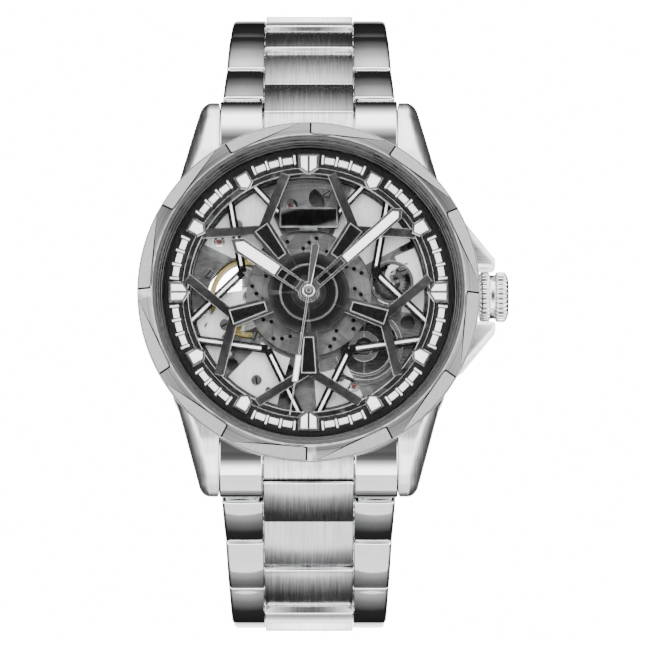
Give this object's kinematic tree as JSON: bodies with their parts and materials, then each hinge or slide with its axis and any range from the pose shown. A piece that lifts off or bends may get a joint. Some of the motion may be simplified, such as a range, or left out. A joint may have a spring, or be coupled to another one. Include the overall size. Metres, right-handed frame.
{
  "type": "skeleton wristwatch",
  "caption": "Round skeleton wristwatch with an openworked dial, visible movement, steel case and three-link bracelet with a fold-over clasp.",
  "frame": {"origin": "centre of the rear crystal's outer face, where the watch lies on the wrist", "axes": "+Z towards 12 o'clock, +X towards 3 o'clock and the crown, +Y out of the caseback into the wrist, so the dial faces -Y"},
  "size_m": [0.0456, 0.0586, 0.0784],
  "materials": {
    "brushed_steel": "brushed",
    "polished_steel": "polished",
    "bezel_steel": "satin with matte grey inlays",
    "rehaut_steel": "turned",
    "crystal_glass": "polished, clear",
    "gasket_rubber": "matte",
    "hand_steel": "polished, with white lume",
    "chapter_black": "matte lacquer with white track",
    "dial_gunmetal": "satin with bright bevels",
    "strut_black": "matte with white stripes",
    "disc_steel": "circular brushed",
    "movement_rhodium": "rhodium, grained",
    "wheel_brass": "gilt, polished"
  },
  "bodies": {
    "watch_head": {"case_middle": "brushed_steel", "bezel": "bezel_steel", "crystal": "crystal_glass", "crystal_gasket": "gasket_rubber", "rehaut_ring": "rehaut_steel", "caseback_ring": "polished_steel", "caseback_crystal": "crystal_glass", "crown_tube": "polished_steel", "chapter_ring": "chapter_black", "dial_frame": "dial_gunmetal", "strut_plate": "strut_black", "perforated_disc": "disc_steel", "movement_ring": "movement_rhodium", "main_plate": "movement_rhodium", "train_bridge": "movement_rhodium", "rotor_bearing": "polished_steel", "balance_cock": "movement_rhodium", "end_link_upper": "brushed_steel", "spring_bar_upper": "polished_steel", "end_link_lower": "brushed_steel", "spring_bar_lower": "polished_steel"},
    "minute": {"minute_hand": "hand_steel", "center_wheel": "wheel_brass"},
    "hour": {"hour_hand": "hand_steel", "hour_wheel": "wheel_brass"},
    "seconds": {"seconds_hand": "hand_steel", "seconds_wheel": "wheel_brass"},
    "third": {"third_wheel": "wheel_brass"},
    "escape": {"escape_wheel": "polished_steel"},
    "pallet": {"pallet_fork": "polished_steel"},
    "balance": {"balance_wheel": "wheel_brass"},
    "barrel": {"barrel": "movement_rhodium"},
    "rotor": {"rotor": "movement_rhodium"},
    "stem": {"winding_stem": "polished_steel"},
    "crown": {"crown": "polished_steel"},
    "row_upper_1": {"link_upper_1": "brushed_steel"},
    "row_upper_2": {"link_upper_2": "brushed_steel"},
    "row_upper_3": {"link_upper_3": "brushed_steel"},
    "row_upper_4": {"link_upper_4": "brushed_steel"},
    "row_upper_5": {"link_upper_5": "brushed_steel"},
    "row_upper_6": {"link_upper_6": "brushed_steel"},
    "row_lower_1": {"link_lower_1": "brushed_steel"},
    "row_lower_2": {"link_lower_2": "brushed_steel"},
    "row_lower_3": {"link_lower_3": "brushed_steel"},
    "row_lower_4": {"link_lower_4": "brushed_steel"},
    "row_lower_5": {"link_lower_5": "brushed_steel"},
    "row_lower_6": {"link_lower_6": "brushed_steel"},
    "blade_inner": {"clasp_blade_inner": "polished_steel"},
    "blade_outer": {"clasp_blade_outer": "polished_steel"},
    "cover": {"clasp_cover": "brushed_steel"},
    "button_left": {"clasp_button_left": "polished_steel"},
    "button_right": {"clasp_button_right": "polished_steel"}
  },
  "joints": [
    {"name": "minute_turn", "type": "hinge", "parent": "watch_head", "child": "minute", "pos_m": [0, -0.004, 0], "axis": [0, 1, 0], "continuous": true},
    {"name": "hour_turn", "type": "hinge", "parent": "watch_head", "child": "hour", "pos_m": [0, -0.004, 0], "axis": [0, 1, 0], "continuous": true},
    {"name": "third_wheel_turn", "type": "hinge", "parent": "watch_head", "child": "third", "pos_m": [0.0032, -0.004, 0.00358], "axis": [0, 1, 0], "continuous": true},
    {"name": "seconds_turn", "type": "hinge", "parent": "watch_head", "child": "seconds", "pos_m": [0, -0.004, 0], "axis": [0, 1, 0], "continuous": true},
    {"name": "escape_wheel_turn", "type": "hinge", "parent": "watch_head", "child": "escape", "pos_m": [-0.0034, -0.004, -0.00413], "axis": [0, 1, 0], "continuous": true},
    {"name": "barrel_turn", "type": "hinge", "parent": "watch_head", "child": "barrel", "pos_m": [0.0068, -0.004, -0.0064], "axis": [0, 1, 0], "continuous": true},
    {"name": "pallet_rock", "type": "hinge", "parent": "watch_head", "child": "pallet", "pos_m": [-0.00536, -0.004, -0.0022], "axis": [0, 1, 0], "range_deg": [-5, 5]},
    {"name": "balance_swing", "type": "hinge", "parent": "watch_head", "child": "balance", "pos_m": [-0.0073, -0.004, -0.0003], "axis": [0, 1, 0], "range_deg": [-270, 270], "stiffness_Nm_per_rad": 0.000002},
    {"name": "rotor_swing", "type": "hinge", "parent": "watch_head", "child": "rotor", "pos_m": [0, -0.0024, 0], "axis": [0, 1, 0], "continuous": true},
    {"name": "stem_pull", "type": "slide", "parent": "watch_head", "child": "stem", "axis": [1, 0, 0], "range_m": [0, 0.0014]},
    {"name": "crown_turn", "type": "hinge", "parent": "stem", "child": "crown", "pos_m": [0.0225, -0.0047, 0], "axis": [1, 0, 0], "continuous": true},
    {"name": "bracelet_upper_open", "type": "hinge", "parent": "watch_head", "child": "row_upper_1", "pos_m": [0, -0.0034, 0.0226], "axis": [1, 0, 0], "range_deg": [0, 47]},
    {"name": "upper_pin_2", "type": "hinge", "parent": "row_upper_1", "child": "row_upper_2", "pos_m": [0, 0.00432, 0.02761], "axis": [1, 0, 0], "range_deg": [-5, 1]},
    {"name": "upper_pin_3", "type": "hinge", "parent": "row_upper_2", "child": "row_upper_3", "pos_m": [0, 0.01166, 0.03315], "axis": [1, 0, 0], "range_deg": [-1, 13]},
    {"name": "upper_pin_4", "type": "hinge", "parent": "row_upper_3", "child": "row_upper_4", "pos_m": [0, 0.02, 0.03703], "axis": [1, 0, 0], "range_deg": [-1, 14]},
    {"name": "upper_pin_5", "type": "hinge", "parent": "row_upper_4", "child": "row_upper_5", "pos_m": [0, 0.029, 0.03895], "axis": [1, 0, 0], "range_deg": [-1, 38]},
    {"name": "upper_pin_6", "type": "hinge", "parent": "row_upper_5", "child": "row_upper_6", "pos_m": [0, 0.03734, 0.03506], "axis": [1, 0, 0], "range_deg": [-1, 40]},
    {"name": "bracelet_lower_open", "type": "hinge", "parent": "watch_head", "child": "row_lower_1", "pos_m": [0, -0.0034, -0.0226], "axis": [-1, 0, 0], "range_deg": [0, 54]},
    {"name": "lower_pin_2", "type": "hinge", "parent": "row_lower_1", "child": "row_lower_2", "pos_m": [0, 0.00487, -0.02663], "axis": [-1, 0, 0], "range_deg": [-8, 1]},
    {"name": "lower_pin_3", "type": "hinge", "parent": "row_lower_2", "child": "row_lower_3", "pos_m": [0, 0.01259, -0.03164], "axis": [-1, 0, 0], "range_deg": [-1, 10]},
    {"name": "lower_pin_4", "type": "hinge", "parent": "row_lower_3", "child": "row_lower_4", "pos_m": [0, 0.02099, -0.03539], "axis": [-1, 0, 0], "range_deg": [-1, 23]},
    {"name": "lower_pin_5", "type": "hinge", "parent": "row_lower_4", "child": "row_lower_5", "pos_m": [0, 0.03018, -0.03571], "axis": [-1, 0, 0], "range_deg": [-1, 31]},
    {"name": "lower_pin_6", "type": "hinge", "parent": "row_lower_5", "child": "row_lower_6", "pos_m": [0, 0.03831, -0.03139], "axis": [-1, 0, 0], "range_deg": [-1, 31]},
    {"name": "clasp_to_bracelet", "type": "hinge", "parent": "row_lower_6", "child": "blade_inner", "pos_m": [0, 0.04318, -0.02359], "axis": [-1, 0, 0], "range_deg": [-1, 35.06]},
    {"name": "clasp_middle_fold", "type": "hinge", "parent": "blade_inner", "child": "blade_outer", "pos_m": [0, 0.04226, 0.01901], "axis": [1, 0, 0], "range_deg": [-1, 91]},
    {"name": "clasp_open", "type": "hinge", "parent": "blade_outer", "child": "cover", "pos_m": [0, 0.04429, -0.01594], "axis": [-1, 0, 0], "range_deg": [0, 60]},
    {"name": "button_left_press", "type": "slide", "parent": "cover", "child": "button_left", "axis": [1, 0, 0], "range_m": [0, 0.0006], "stiffness_N_per_m": 400},
    {"name": "button_right_press", "type": "slide", "parent": "cover", "child": "button_right", "axis": [-1, 0, 0], "range_m": [0, 0.0006], "stiffness_N_per_m": 400}
  ],
  "couplings": [
    {"joint": "hour_turn", "follows": "minute_turn", "ratio": 0.083333},
    {"joint": "third_wheel_turn", "follows": "minute_turn", "ratio": -8},
    {"joint": "seconds_turn", "follows": "minute_turn", "ratio": 60},
    {"joint": "barrel_turn", "follows": "minute_turn", "ratio": -0.125},
    {"joint": "upper_pin_2", "follows": "bracelet_upper_open", "ratio": -0.085106},
    {"joint": "upper_pin_3", "follows": "bracelet_upper_open", "ratio": 0.25532},
    {"joint": "upper_pin_4", "follows": "bracelet_upper_open", "ratio": 0.2766},
    {"joint": "upper_pin_5", "follows": "bracelet_upper_open", "ratio": 0.78723},
    {"joint": "upper_pin_6", "follows": "bracelet_upper_open", "ratio": 0.82979},
    {"joint": "lower_pin_2", "follows": "bracelet_lower_open", "ratio": -0.12963},
    {"joint": "lower_pin_3", "follows": "bracelet_lower_open", "ratio": 0.16667},
    {"joint": "lower_pin_4", "follows": "bracelet_lower_open", "ratio": 0.40741},
    {"joint": "lower_pin_5", "follows": "bracelet_lower_open", "ratio": 0.55556},
    {"joint": "lower_pin_6", "follows": "bracelet_lower_open", "ratio": 0.55556},
    {"joint": "clasp_to_bracelet", "follows": "bracelet_lower_open", "ratio": 0.63072},
    {"joint": "clasp_middle_fold", "follows": "clasp_open", "ratio": 1.5}
  ]
}
